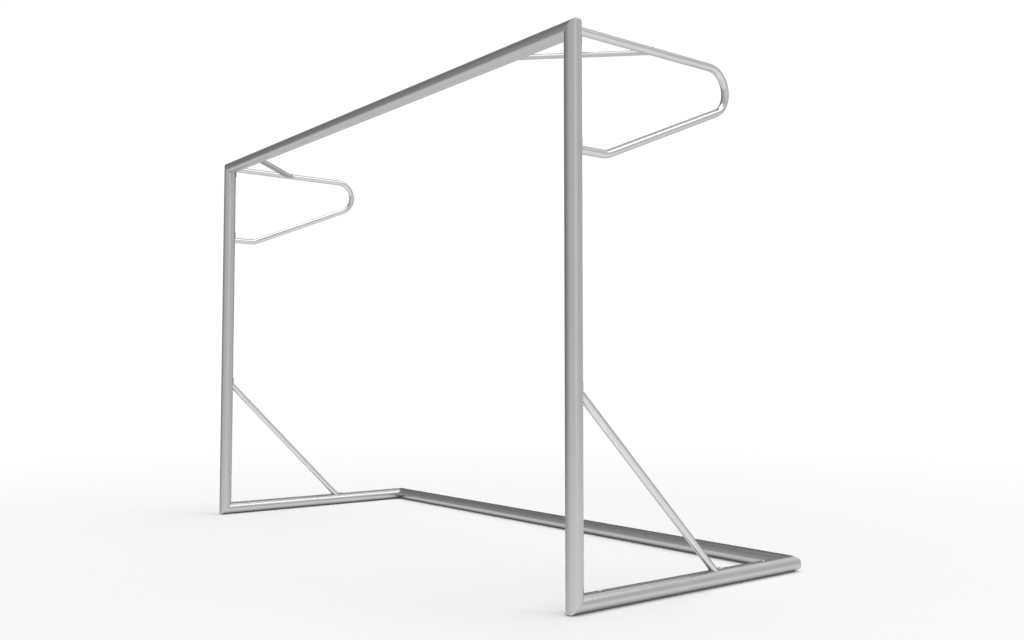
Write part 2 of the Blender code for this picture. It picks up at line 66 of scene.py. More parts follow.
# sizes that all pieces share, in metres
goal = {
    "clearWidth": 3.0,
    "clearHeight": 2.0,
    "groundDepth": 1.26,
    "barRadius": 0.03175,
    "railFace": 0.03375,        # from a bar's axis to the face of its net rail
    "railHalf": 0.007,
    "tubeRadius": 0.015,
    "tubeWall": 0.002,
    "gap": 0.0003,              # between pieces that touch
}
shape = {
    "smoothAngle": 35.0,        # degrees between two faces up to which the shading runs on
    "insetLimit": 0.5,          # at a sharp corner an inset goes no further than its distance over this
    "tiny": 1e-6,
}
sideX = goal["clearWidth"] / 2 + goal["barRadius"]
topZ = goal["clearHeight"] + goal["barRadius"]
groundZ = goal["barRadius"]
frontY = goal["barRadius"] - goal["groundDepth"] / 2
rearY = goal["groundDepth"] / 2 - goal["barRadius"]
sides = (("left", -1), ("right", 1))
axisX = np.array([1.0, 0.0, 0.0])
axisY = np.array([0.0, 1.0, 0.0])
axisZ = np.array([0.0, 0.0, 1.0])


def unit(vector):
    return np.asarray(vector, float) / np.linalg.norm(vector)


def axesAt(along, up):
    # third axis along, second axis up, first axis = up x along, one row each
    third, second = unit(along), unit(up)
    return np.array([np.cross(second, third), second, third])


def placed(points, origin, axes):
    # local points (x, y, z) become origin + x * first + y * second + z * third
    return np.asarray(origin, float) + np.asarray(points, float) @ axes


def arc(radius, start, end, steps, centre=(0.0, 0.0)):
    # centre + radius * (cos, sin) of angles spread evenly from start to end
    angle = np.linspace(start, end, steps + 1)
    return np.stack([centre[0] + radius * np.cos(angle), centre[1] + radius * np.sin(angle)], axis=1)


def runLength(loop):
    # distance from a closed loop's first point to each point, and last round to the first again
    steps = np.linalg.norm(np.roll(loop, -1, axis=0) - loop, axis=1)
    return np.concatenate([[0.0], np.cumsum(steps)])


def inset(loop, distance):
    # a closed anticlockwise loop moved inwards along the mean normal of each point's two sides
    ahead = np.roll(loop, -1, axis=0) - loop
    behind = loop - np.roll(loop, 1, axis=0)
    normalAhead = np.stack([-ahead[:, 1], ahead[:, 0]], axis=1)
    normalBehind = np.stack([-behind[:, 1], behind[:, 0]], axis=1)
    normalAhead /= np.linalg.norm(normalAhead, axis=1, keepdims=True)
    normalBehind /= np.linalg.norm(normalBehind, axis=1, keepdims=True)
    middle = normalAhead + normalBehind
    middle /= np.linalg.norm(middle, axis=1, keepdims=True)
    reach = np.clip(np.sum(middle * normalAhead, axis=1, keepdims=True), shape["insetLimit"], 1)
    return loop + middle * distance / reach


def gridQuads(rows, columns, closeRows, first=0):
    # corner numbers of the quads of a grid whose columns close; rows close too where asked
    row = np.arange(rows if closeRows else rows - 1)[:, None]
    column = np.arange(columns)[None, :]
    nextRow = (row + 1) % rows
    nextColumn = (column + 1) % columns
    corners = [row * columns + column, row * columns + nextColumn,
               nextRow * columns + nextColumn, nextRow * columns + column]
    return np.stack(np.broadcast_arrays(*corners), axis=-1).reshape(-1, 4) + first


def gridMaps(across, along):
    # (u, v) of each quad's corners: u from the distances across, one more than the columns, and v from the
    # distances along, one more than the rows of quads
    u0, v0 = np.broadcast_arrays(across[None, :-1], along[:-1, None])
    u1, v1 = np.broadcast_arrays(across[None, 1:], along[1:, None])
    corners = [np.stack(pair, -1) for pair in ((u0, v0), (u1, v0), (u1, v1), (u0, v1))]
    return np.stack(corners, axis=2).reshape(-1, 2)


def makeMesh(name, points, quads, maps, wear, triangles=None, triangleMaps=None):
    # one mesh of quads and triangles, with its UV map and an attribute of wear and painted shade: above zero at
    # worn edges, below zero where shade is painted on, which makes the metal darker and rougher
    mesh = bpy.data.meshes.new(name)
    triangles = np.zeros((0, 3), int) if triangles is None else np.asarray(triangles, int)
    corners = np.concatenate([quads.ravel(), triangles.ravel()])
    sizes = np.concatenate([np.full(len(quads), 4), np.full(len(triangles), 3)])
    starts = np.concatenate([[0], np.cumsum(sizes)[:-1]])
    mesh.vertices.add(len(points))
    mesh.vertices.foreach_set("co", np.asarray(points, np.float32).ravel())
    mesh.loops.add(len(corners))
    mesh.loops.foreach_set("vertex_index", corners.astype(np.int32))
    mesh.polygons.add(len(sizes))
    mesh.polygons.foreach_set("loop_start", starts.astype(np.int32))
    mesh.update(calc_edges=True)
    layer = mesh.uv_layers.new(name="surface")
    if triangleMaps is not None:
        maps = np.concatenate([maps, triangleMaps])
    layer.data.foreach_set("uv", np.asarray(maps, np.float32).ravel())
    amount = mesh.attributes.new("wear", 'FLOAT', 'POINT')
    amount.data.foreach_set("value", np.asarray(wear, np.float32))
    mesh.shade_smooth()
    mesh.set_sharp_from_angle(angle=math.radians(shape["smoothAngle"]))
    mesh.validate()
    return mesh


def pieceName(node):
    return "goal" + "".join(word.capitalize() for word in node.split("_"))


def addPiece(node, mesh, material):
    # a mesh as the piece that takes a solid's place
    piece = bpy.data.objects.new(pieceName(node), mesh)
    bpy.context.scene.collection.objects.link(piece)
    mesh.materials.append(material)
    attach(piece, "root")
    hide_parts(node)


class Nodes:
    # the node tree of a material or a world, with short ways to add and join nodes
    def __init__(self, owner):
        owner.use_nodes = True
        self.tree = owner.node_tree
        self.shader = self.tree.nodes.get("Principled BSDF") or self.tree.nodes["Background"]

    def add(self, kind, inputs=None, **settings):
        node = self.tree.nodes.new("ShaderNode" + kind)
        for key, value in settings.items():
            setattr(node, key, value)
        for key, value in (inputs or {}).items():
            if isinstance(value, bpy.types.NodeSocket):
                self.tree.links.new(value, node.inputs[key])
            else:
                node.inputs[key].default_value = value
        return node

    def join(self, output, name):
        self.tree.links.new(output, self.shader.inputs[name])

    def ramp(self, value, low, high, start=0.0, end=1.0, shape='LINEAR'):
        node = self.add("MapRange", {"Value": value, "From Min": start, "From Max": end,
                                     "To Min": low, "To Max": high}, interpolation_type=shape)
        return node.outputs["Result"]

    def math(self, operation, first, second=0.0):
        return self.add("Math", {0: first, 1: second}, operation=operation).outputs[0]

    def product(self, first, second):
        return self.math('MULTIPLY', first, second)

    def total(self, first, second):
        return self.math('ADD', first, second)

    def dot(self, vector, way):
        return self.add("VectorMath", {0: vector, 1: way}, operation='DOT_PRODUCT').outputs["Value"]

    def scaled(self, vector, amount):
        return self.add("VectorMath", {0: vector, "Scale": amount}, operation='SCALE').outputs["Vector"]

    def noise(self, place, **inputs):
        return self.add("TexNoise", {"Vector": place, **inputs}).outputs["Fac"]

    def bump(self, height, strength, distance):
        node = self.add("Bump", {"Height": height, "Strength": strength, "Distance": distance})
        self.join(node.outputs["Normal"], "Normal")

    def blend(self, amount, first, second):
        return self.add("Mix", {"Factor": amount, "A": first, "B": second}).outputs["Result"]

    def seenBy(self, *kinds):
        # one where the ray is of one of the kinds
        path = self.add("LightPath")
        seen = path.outputs["Is %s Ray" % kinds[0]]
        for kind in kinds[1:]:
            seen = self.math('MAXIMUM', seen, path.outputs["Is %s Ray" % kind])
        return seen


# Each lined metal: its grey, how blue that is, its roughness, its lines across and along one metre, how far
# the lines and the cloud shift the grey, the lines' height in metres, and its rims' tint where not white.
metals = {
    "barSatin": {"grey": 0.555, "tint": 1.012, "rough": 0.27, "lines": 900.0, "stretch": 2.0,
                 "streak": 0.015, "cloud": 0.015, "dent": 0.000002},
    "tubeSatin": {"grey": 0.66, "tint": 1.01, "rough": 0.15, "lines": 1400.0, "stretch": 4.0,
                  "streak": 0.015, "cloud": 0.015, "dent": 0.000001, "rimTint": 0.5},
    "braceSatin": {"grey": 0.82, "tint": 1.01, "rough": 0.17, "lines": 1400.0, "stretch": 4.0,
                   "streak": 0.015, "cloud": 0.015, "dent": 0.000001, "rimTint": 0.5},
    "plateSatin": {"grey": 0.60, "tint": 1.01, "rough": 0.26, "lines": 2600.0, "stretch": 90.0,
                   "streak": 0.06, "cloud": 0.04, "dent": 0.00001},
    "brightSteel": {"grey": 0.95, "tint": 1.0, "rough": 0.45, "lines": 3000.0, "stretch": 60.0,
                    "streak": 0.06, "cloud": 0.03, "dent": 0.000005},
}
# What all of them share: the noises, the part of each noise's range that is used, and how far they reach.
metalGrain = {
    "line": {"Detail": 3.0, "Roughness": 0.65, "Scale": 1.0},
    "cloud": {"Detail": 5.0, "Roughness": 0.6, "Scale": 7.0},
    "smear": {"Detail": 4.0, "Distortion": 1.5, "Scale": 55.0},
    "lineRange": (0.25, 0.75),
    "cloudRange": (0.3, 0.7),
    "smearRange": (0.35, 0.7),
    "lineRough": (-0.01, 0.01),
    "smearRough": (-0.008, 0.012),
    "wornGrey": 0.12,           # shifts at full wear
    "wornRough": -0.08,
    "paintedShadeGrey": -0.7,           # and at full painted shade, which darkens the metal
    "paintedShadeRough": 0.3,
    "bump": 0.35,
}


def linedMetal(name):
    # Grey = its own * (1 + lines + cloud + worn + painted shade), and roughness = its own + lines + smear +
    # worn + painted shade. The lines are noise stretched along the UV map's second axis; cloud and smear are
    # noises in the object's own space; worn is the attribute of wear and painted shade above zero, which is
    # wear alone, and the painted shade is that attribute below zero, which darkens the metal where shade falls.
    look, grain = metals[name], metalGrain
    material = bpy.data.materials.new(name)
    nodes = Nodes(material)
    uv = nodes.add("UVMap", uv_map="surface").outputs["UV"]
    fine = (look["lines"], look["stretch"], 1.0)
    stretched = nodes.add("Mapping", {"Vector": uv, "Scale": fine}).outputs["Vector"]
    place = nodes.add("TexCoord").outputs["Object"]
    lines = nodes.noise(stretched, **grain["line"])
    cloud = nodes.noise(place, **grain["cloud"])
    smear = nodes.noise(place, **grain["smear"])
    wear = nodes.add("Attribute", attribute_name="wear").outputs["Fac"]
    # the attribute's part above zero is wear at worn edges
    wearAndShadeLevels = nodes.math('MAXIMUM', wear)
    # painted shade: where the attribute is below zero the grey is darkened and the roughness raised
    paintedShade = nodes.math('MAXIMUM', nodes.product(wear, -1.0))
    level = nodes.total(nodes.ramp(lines, -look["streak"], look["streak"], *grain["lineRange"]),
                        nodes.ramp(cloud, -look["cloud"], look["cloud"], *grain["cloudRange"]))
    level = nodes.total(level, nodes.total(nodes.product(wearAndShadeLevels, grain["wornGrey"]),
                                           nodes.product(paintedShade, grain["paintedShadeGrey"])))
    base = (look["grey"], look["grey"], look["grey"] * look["tint"])
    nodes.join(nodes.scaled(base, nodes.total(level, 1.0)), "Base Color")
    rough = nodes.total(nodes.ramp(lines, *grain["lineRough"], *grain["lineRange"]),
                        nodes.ramp(smear, *grain["smearRough"], *grain["smearRange"]))
    rough = nodes.total(rough, nodes.total(nodes.product(wearAndShadeLevels, grain["wornRough"]),
                                           nodes.product(paintedShade, grain["paintedShadeRough"])))
    nodes.join(nodes.total(rough, look["rough"]), "Roughness")
    nodes.bump(lines, grain["bump"], look["dent"])
    nodes.shader.inputs["Metallic"].default_value = 1.0
    nodes.shader.inputs["Specular Tint"].default_value = (look.get("rimTint", 1.0),) * 3 + (1.0,)
    return material


# Each cast or sawn metal: its grey, its roughness and the grains across one metre.
dullMetals = {
    "castDull": {"grey": 0.42, "rough": 0.48, "grains": 900.0},
    "nutSteel": {"grey": 0.40, "rough": 0.4, "grains": 1500.0},
}
dullGrain = {
    "range": (0.3, 0.7),
    "fine": {"Detail": 6.0, "Roughness": 0.7},
    "slow": {"Detail": 3.0},
    "slowShare": 14,            # how many times coarser the slow noise is
    "fineGrey": (0.86, 1.08),
    "slowGrey": (-0.06, 0.06),
    "fineRough": (-0.07, 0.1),
    "bump": 0.5,
    "dent": 0.0001,
}


def dullMetal(name):
    # grey = its own * (fine noise + slow noise) and roughness = its own + fine noise, in the object's space
    look, grain = dullMetals[name], dullGrain
    material = bpy.data.materials.new(name)
    nodes = Nodes(material)
    place = nodes.add("TexCoord").outputs["Object"]
    fine = nodes.noise(place, Scale=look["grains"], **grain["fine"])
    slow = nodes.noise(place, Scale=look["grains"] / grain["slowShare"], **grain["slow"])
    level = nodes.total(nodes.ramp(fine, *grain["fineGrey"], *grain["range"]),
                        nodes.ramp(slow, *grain["slowGrey"], *grain["range"]))
    nodes.join(nodes.scaled((look["grey"],) * 3, level), "Base Color")
    least, most = (look["rough"] + shift for shift in grain["fineRough"])
    nodes.join(nodes.ramp(fine, least, most, *grain["range"]), "Roughness")
    nodes.bump(fine, grain["bump"], grain["dent"])
    nodes.shader.inputs["Metallic"].default_value = 1.0
    return material


finish = {name: linedMetal(name) for name in metals}
finish.update({name: dullMetal(name) for name in dullMetals})
print("finishes made")

bar = {
    "bore": 0.02925,
    "roundSteps": 120,
    "slotHalf": 0.0033,
    "lip": 0.0025,              # thickness of the lips beside the slot
    "pocketHalf": 0.0055,
    "pocketDepth": 0.0056,
    "pocketWall": 0.002,        # metal between the pocket and the bore
    "railEdge": 0.0005,         # radius of the rail's outer edges
    "lipEdge": 0.00025,         # radius of the slot's edges
    "railSteps": 4,             # faces round each of those edges
    "lipSteps": 3,
    "mitreEdge": 0.0004,        # broken edge at a mitre
    "mitreHold": 6,             # that edge's times to the ring that keeps it crisp
    "mitreWear": 0.7,
    "tipCut": 0.0045,           # depth of the flat that blunts a mitre's outer tip
    "slotPaintedShade": 0.55,           # painted shade darkening the slot's inside
    "footDull": 0.85,           # painted shade darkening the rail's sides
    "railFootPaintedShade": 0.425,         # painted shade darkening the round at the rail's foot
    "footReach": 0.0010,        # and how far down that goes
}


def barProfile():
    # A bar's outline, anticlockwise from the middle of its pocket's floor, with the wear on its rail's edges
    # and the painted shade in its slot, on its rail's sides and on the round at the rail's foot. The pocket,
    # the lips and the rail are straight runs with small arcs at the corners; the rest is one arc.
    face, tiny = goal["railFace"], shape["tiny"]
    lipFace = face - bar["lip"]
    floor = lipFace - bar["pocketDepth"]
    soft, hard = bar["lipEdge"], bar["railEdge"]
    gap = math.asin(goal["railHalf"] / goal["barRadius"])
    quarter = math.pi / 2
    slot, pocket, rail = bar["slotHalf"], bar["pocketHalf"], goal["railHalf"]
    left = np.concatenate([
        [(0.0, floor), (-pocket, floor), (-pocket, lipFace)],
        arc(soft, -quarter, 0, bar["lipSteps"], (-slot - soft, lipFace + soft)),
        arc(soft, 0, quarter, bar["lipSteps"], (-slot - soft, face - soft)),
        arc(hard, quarter, 2 * quarter, bar["railSteps"], (-rail + hard, face - hard)),
        [(-rail, face - 3 * hard)],
    ])
    ring = arc(goal["barRadius"], quarter + gap, 5 * quarter - gap, bar["roundSteps"])
    right = left[:0:-1] * (-1, 1)
    outline = np.concatenate([left, ring, right])
    place, height = np.abs(outline[:, 0]), outline[:, 1]
    foot = math.sqrt(goal["barRadius"] ** 2 - rail ** 2)
    inSlot = (place < pocket + soft) & (height > floor - soft) & (height < face - soft - tiny)
    onSide = (np.abs(place - rail) < tiny) & (height < face - 2 * hard)
    onRound = (place > rail + tiny) & (height > foot - bar["footReach"])
    wearAndShadeLevels = np.where((place <= rail) & (height > face - 2 * hard), 1.0, 0.0)
    # painted shade: the slot, the rail's sides and the round at the rail's foot are darkened where shade falls
    wearAndShadeLevels[inSlot] = -bar["slotPaintedShade"]
    wearAndShadeLevels[onSide] = -bar["footDull"]
    wearAndShadeLevels[onRound] = -bar["railFootPaintedShade"]
    return outline, wearAndShadeLevels


def boreProfile():
    # a bar's inside, anticlockwise: one arc and a flat under the pocket
    half = bar["pocketHalf"] + bar["pocketWall"]
    level = goal["railFace"] - bar["lip"] - bar["pocketDepth"] - bar["pocketWall"]
    gap = math.asin(half / bar["bore"])
    ring = arc(bar["bore"], math.pi / 2 + gap, 2.5 * math.pi - gap, bar["roundSteps"] // 2)
    return np.concatenate([ring, [(half, level), (-half, level)]])


def ringAt(loop, level, slope, way):
    # A loop in the mitre's plane, third = level + slope * (x, y), but past the tip's flat in the flat's own
    # plane. The way is 1 at a bar's end and -1 at its start.
    reach = loop @ np.asarray(slope, float) * way
    flat = 2 * goal["barRadius"] - math.sqrt(2) * bar["tipCut"]
    return np.column_stack([loop, level + way * np.minimum(reach, flat - reach)])


def boreAt(loop, level, slope, way):
    # the bore's ring, kept inside the tip's flat
    limit = goal["barRadius"] - bar["tipCut"] / math.sqrt(2) - goal["gap"]
    slope = np.asarray(slope, float)
    over = np.maximum(loop @ slope * way - limit, 0)
    return ringAt(loop - way * over[:, None] * slope, level, slope, way)


def barMesh(name, origin, along, up, length, startSlope, endSlope):
    # A profile carried between two mitre planes, hollow, with a broken edge at both mitres. Each slope is how
    # far the mitre rises along the bar for a step on the profile's two axes.
    outline, wearAndShadeLevels = barProfile()
    bore = boreProfile()
    start = goal["gap"] / math.sqrt(2)
    end = length - start
    edge = bar["mitreEdge"]
    hold = bar["mitreHold"] * edge
    small = inset(outline, edge)
    outer = [ringAt(small, start, startSlope, -1), ringAt(outline, start + edge, startSlope, -1),
             ringAt(outline, start + hold, startSlope, -1), ringAt(outline, end - hold, endSlope, 1),
             ringAt(outline, end - edge, endSlope, 1), ringAt(small, end, endSlope, 1)]
    inner = [boreAt(bore, start, startSlope, -1), boreAt(bore, end, endSlope, 1)]
    points = np.concatenate(outer + inner)
    count, outerCount = len(outline), len(outer) * len(outline)
    outerQuads = gridQuads(len(outer), count, False)
    innerQuads = gridQuads(len(inner), len(bore), False, outerCount)[:, ::-1]
    outerMaps = gridMaps(runLength(outline), np.array([ring[:, 2].mean() for ring in outer]))
    innerMaps = gridMaps(runLength(bore), np.array([start, end])).reshape(-1, 4, 2)[:, ::-1].reshape(-1, 2)
    faces = []
    for first, second, base, inside, wanted in (
            (outer[0], inner[0], 0, outerCount, -1),
            (outer[-1], inner[-1], outerCount - count, outerCount + len(bore), 1)):
        # the mitre's face between the outline and the bore, turned to look out of the bar
        flat = [[(x, y, 0.0) for x, y in ring[:, :2]] for ring in (first, second)]
        fill = np.array(tessellate_polygon(flat))
        fill = np.where(fill < count, fill + base, fill - count + inside)
        a, b, c = (points[fill[:, k], :2] for k in range(3))
        turn = (b[:, 0] - a[:, 0]) * (c[:, 1] - a[:, 1]) - (b[:, 1] - a[:, 1]) * (c[:, 0] - a[:, 0])
        flip = turn * wanted < 0
        fill[flip] = fill[flip][:, ::-1]
        faces.append(fill)
    triangles = np.concatenate(faces)
    wear = np.tile(wearAndShadeLevels, (len(outer), 1))
    ends = [0, 1, -2, -1]
    wear[ends] = np.maximum(wear[ends], bar["mitreWear"])
    wear = np.concatenate([wear.ravel(), np.zeros(2 * len(bore))])
    axes = axesAt(along, up)
    return makeMesh(name, placed(points, origin, axes), np.concatenate([outerQuads, innerQuads]),
                    np.concatenate([outerMaps, innerMaps]), wear, triangles, points[triangles.ravel(), :2])


def makeBars():
    height = topZ - groundZ
    width = 2 * sideX
    depth = rearY - frontY
    left, right = (-sideX, frontY, groundZ), (sideX, frontY, groundZ)
    # each bar: where its axis starts, its way, its rail's way, its length and its two mitres' slopes
    rows = {
        "left_post": (left, axisZ, axisY, height, (0, 1), (-1, 0)),
        "right_post": (right, axisZ, axisY, height, (0, 1), (1, 0)),
        "crossbar": ((-sideX, frontY, topZ), axisX, axisY, width, (1, 0), (-1, 0)),
        "left_side_bar": (left, axisY, axisZ, depth, (0, 1), (1, 0)),
        "right_side_bar": (right, axisY, axisZ, depth, (0, 1), (-1, 0)),
        "rear_bar": ((-sideX, rearY, groundZ), axisX, axisZ, width, (-1, 0), (1, 0)),
    }
    for node, row in rows.items():
        addPiece(node, barMesh(pieceName(node), *row), finish["barSatin"])
    print("bars made")


makeBars()


tube = {
    "steps": 72,
    "rim": 0.00025,             # broken edge at a tube's end
    "hold": 8,                  # that edge's times to the ring that keeps it crisp
    "rimWear": 0.8,
    "flatSteps": 4,             # faces across each flat of a flat tube
}


def railReach(offset):
    # how far a bar's seat stands out from its axis, at a sideways distance from the rail's middle
    reach = goal["barRadius"] + goal["gap"]
    rounded = np.sqrt(np.maximum(reach ** 2 - offset ** 2, 0))
    return np.where(np.abs(offset) <= goal["railHalf"] + goal["gap"], goal["railFace"] + goal["gap"], rounded)


def postSeat(points):
    return frontY + railReach(np.abs(points[..., 0]) - sideX)


def crossbarSeat(points):
    return frontY + railReach(points[..., 2] - topZ)


def cornerSeat(points):
    # the post's seat below the mitre and the crossbar's above it
    out = np.abs(points[..., 0]) - sideX
    up = points[..., 2] - topZ
    return np.where(up <= out, postSeat(points), crossbarSeat(points))


def sideBarSeat(points):
    return groundZ + railReach(np.abs(points[..., 0]) - sideX)


def slideTo(points, direction, axis, seat):
    # points moved along a direction until their coordinate on an axis is the seat's
    travel = (seat(points) - points[..., axis]) / direction[axis]
    return points + travel[..., None] * direction


def ovalProfile(width, height, steps):
    # two straight flats and two half circles, anticlockwise from the middle of the lower flat
    radius = height / 2
    half = width / 2 - radius
    right = arc(radius, -math.pi / 2, math.pi / 2, steps, (half, 0))
    left = arc(radius, math.pi / 2, 1.5 * math.pi, steps, (-half, 0))
    flat = np.linspace(-1, 1, tube["flatSteps"] + 1)[1:-1] * half
    top = np.column_stack([-flat, np.full(len(flat), radius)])
    bottom = np.column_stack([flat, np.full(len(flat), -radius)])
    return np.concatenate([bottom[1:], right, top, left, bottom[:1]])


def straightTube(name, outer, inner, origin, along, up, startSeat, endSeat):
    # A straight tube whose two ends are cut to seats. Each seat is an axis and a function: the ring slides
    # along the tube until its coordinate on the axis is the function's value. A step back breaks the rim.
    axes = axesAt(along, up)
    direction = axes[2]

    def ends(loop, back):
        flat = placed(np.column_stack([loop, np.zeros(len(loop))]), origin, axes)
        first = slideTo(flat, direction, *startSeat) + back * direction
        last = slideTo(flat, direction, *endSeat) - back * direction
        return first, last

    rim = tube["rim"]
    hold = tube["hold"] * rim
    wide = ends(outer, rim)
    narrow = ends(inset(outer, rim), 0.0)
    support = ends(outer, hold)
    bore = ends(inner, 0.0)
    rows = np.stack([narrow[0], wide[0], support[0], support[1], wide[1], narrow[1], bore[1], bore[0]])
    length = float(np.linalg.norm(narrow[1].mean(0) - narrow[0].mean(0)))
    distances = np.array([0.0, rim, hold, length - hold, length - rim, length, length, 0.0, 0.0])
    wear = np.zeros(rows.shape[:2])
    wear[[0, 1, 4, 5]] = tube["rimWear"]
    return makeMesh(name, rows.reshape(-1, 3), gridQuads(len(rows), len(outer), True),
                    gridMaps(runLength(outer), distances), wear.ravel())


bracket = {
    "legDrop": 0.002,           # the top leg's axis below the crossbar's
    "height": 0.424,            # from the stub's axis up to the top leg's
    "run": 0.7945,              # from the post's rail to the outside of the rear bend
    "bend": 0.0925,             # radius of both bends' axis
    "kneeRun": 0.1255,          # from the post's rail to the corner of the knee
    "straight": 0.02,           # from the post's rail to the rings that are slid to the seats
    "bendSteps": 28,            # rings in each radian of bend
    "kneeSteps": 6,             # and at least so many in the knee
    "flatten": 0.02,            # share by which the tube's radius shrinks across a bend
    "kneeFlatten": 0.4,         # and the knee's part of that
}
legZ = topZ - bracket["legDrop"]
stubZ = legZ - bracket["height"]


def bracketPath():
    # The bracket's axis as (y, z) points, the way at each, and how bent it is there. Straight runs join arcs
    # of one radius; the slope is the line from the knee that touches the rear arc.
    rail = frontY + goal["railFace"]
    knee = np.array([rail + bracket["kneeRun"], stubZ])
    radius = bracket["bend"]
    centre = np.array([rail + bracket["run"] - goal["tubeRadius"] - radius, legZ - radius])
    reach = centre - knee
    slope = math.atan2(reach[1], reach[0]) - math.asin(radius / np.linalg.norm(reach))
    rearTurn = math.pi - slope
    rear = np.linspace(math.pi / 2, math.pi / 2 - rearTurn, round(rearTurn * bracket["bendSteps"]) + 1)
    kneeTangent = radius * math.tan(slope / 2)
    kneeCentre = knee + np.array([-kneeTangent, radius])
    lowSteps = max(round(slope * bracket["bendSteps"]), bracket["kneeSteps"])
    low = np.linspace(slope - math.pi / 2, -math.pi / 2, lowSteps + 1)
    start = np.array([[rail + bracket["straight"], legZ]])
    end = np.array([[rail + bracket["straight"], stubZ]])
    rearArc = centre + radius * np.column_stack([np.cos(rear), np.sin(rear)])
    kneeArc = kneeCentre + radius * np.column_stack([np.cos(low), np.sin(low)])
    points = np.concatenate([start, rearArc, kneeArc, end])
    heading = np.concatenate([[0.0], rear - math.pi / 2, low - math.pi / 2, [-math.pi]])
    rearBend, kneeBend = (np.sin(np.linspace(0, math.pi, len(turns))) ** 0.5 for turns in (rear, low))
    bent = np.concatenate([[0.0], rearBend, bracket["kneeFlatten"] * kneeBend, [0.0]])
    ways = np.column_stack([np.cos(heading), np.sin(heading)])
    return points, ways, bent


def bracketMesh(name, side):
    # a ring of the tube at each point of the path, and rings slid to the seats at its two ends
    points, ways, bent = bracketPath()
    angle = np.linspace(0, 2 * math.pi, tube["steps"], endpoint=False)

    def rings(radius):
        squash = 1 - bracket["flatten"] * bent[:, None]
        across = radius * np.cos(angle)[None, :] * np.ones_like(squash)
        lift = radius * np.sin(angle)[None, :] * squash
        up = np.column_stack([-ways[:, 1], ways[:, 0]])
        y = points[:, :1] + lift * up[:, :1]
        z = points[:, 1:] + lift * up[:, 1:]
        # up x along points to -X, so the rings run the wrong way round and are turned over below
        return np.stack([side * sideX + across, y, z], axis=-1)

    def cut(ring, way, back):
        seat = cornerSeat if way > 0 else postSeat
        return slideTo(ring, way * axisY, 1, seat) + back * axisY

    outer, thin = rings(goal["tubeRadius"]), rings(goal["tubeRadius"] - tube["rim"])
    bore = rings(goal["tubeRadius"] - goal["tubeWall"])
    rim = tube["rim"]
    hold = tube["hold"] * rim
    outerRows = np.concatenate([
        [cut(thin[0], 1, 0.0), cut(outer[0], 1, rim), cut(outer[0], 1, hold)],
        outer[1:-1],
        [cut(outer[-1], -1, hold), cut(outer[-1], -1, rim), cut(thin[-1], -1, 0.0)]])
    innerRows = np.concatenate([[cut(bore[0], 1, 0.0)], bore[1:-1], [cut(bore[-1], -1, 0.0)]])
    middle = outerRows.mean(axis=1)
    distances = np.concatenate([[0.0], np.cumsum(np.linalg.norm(np.diff(middle, axis=0), axis=1))])
    innerAlong = np.concatenate([distances[:1], distances[3:-3], distances[-1:]])
    rows = np.concatenate([outerRows, innerRows[::-1]])[:, ::-1]
    along = np.concatenate([distances, innerAlong[::-1], [0.0]])
    circle = np.column_stack([np.cos(angle), np.sin(angle)]) * goal["tubeRadius"]
    wear = np.zeros(rows.shape[:2])
    last = len(outerRows) - 1
    wear[[0, 1, last - 1, last]] = tube["rimWear"]
    return makeMesh(name, rows.reshape(-1, 3), gridQuads(len(rows), len(angle), True),
                    gridMaps(runLength(circle), along), wear.ravel())


brace = {
    "lowRise": 0.68,            # the lower brace's ends from the rails' faces
    "lowRun": 0.68,
    "topRun": 0.3645,           # from the crossbar's rail back to the top brace's screw
    "topSpread": 0.3645,        # and from the screw in to the brace's front end
    "topHeight": 0.011,
    "topWidth": 0.0505,
    "topShift": 0.0066,         # the top brace's middle from its screw, towards the corner
    "topWall": 0.002,
    "topDrop": 0.0035,          # the top brace's middle below the bracket leg's axis
    "edgeSteps": 16,
}


def circleProfile(radius, steps):
    return arc(radius, 0, 2 * math.pi, steps)[:-1]


def legSeat(points):
    # the inner side of a bracket's top leg
    reach = goal["tubeRadius"] + goal["gap"]
    out = sideX - np.sqrt(np.maximum(reach ** 2 - (points[..., 2] - legZ) ** 2, 0))
    return np.sign(points[..., 0]) * out


def makeTubes():
    outer = circleProfile(goal["tubeRadius"], tube["steps"])
    inner = circleProfile(goal["tubeRadius"] - goal["tubeWall"], tube["steps"])
    flatOuter = ovalProfile(brace["topWidth"], brace["topHeight"], brace["edgeSteps"])
    walls = 2 * brace["topWall"]
    flatInner = ovalProfile(brace["topWidth"] - walls, brace["topHeight"] - walls, brace["edgeSteps"])
    for word, side in sides:
        node = word + "_net_bracket"
        addPiece(node, bracketMesh(pieceName(node), side), finish["tubeSatin"])
        node = word + "_lower_brace"
        top = (side * sideX, frontY + goal["railFace"], groundZ + goal["railFace"] + brace["lowRise"])
        along = (0, brace["lowRun"], -brace["lowRise"])
        mesh = straightTube(pieceName(node), outer, inner, top, along, axisX, (1, postSeat), (2, sideBarSeat))
        addPiece(node, mesh, finish["tubeSatin"])
        node = word + "_top_brace"
        along = np.array([side * brace["topSpread"], brace["topRun"], 0])
        screwY = frontY + goal["railFace"] + brace["topRun"]
        screwed = np.array([side * sideX, screwY, legZ - brace["topDrop"]])
        middle = screwed - 0.5 * along
        middle += brace["topShift"] * unit((side * brace["topRun"], -brace["topSpread"], 0))
        mesh = straightTube(pieceName(node), flatOuter, flatInner, middle, along, axisZ,
                            (1, crossbarSeat), (0, legSeat))
        addPiece(node, mesh, finish["braceSatin"])
    print("tubes made")


makeTubes()


lug = {
    "reach": 0.041,             # from the tube's axis to the bolt
    "half": 0.009,              # half its width, and the radius of its end
    "thick": 0.003,
    "endSteps": 20,
    "sideSteps": 8,
    "footSteps": 12,
    "holeRadius": 0.0033,
    "edge": 0.0004,             # broken edges
    "edgeWear": 0.8,
}


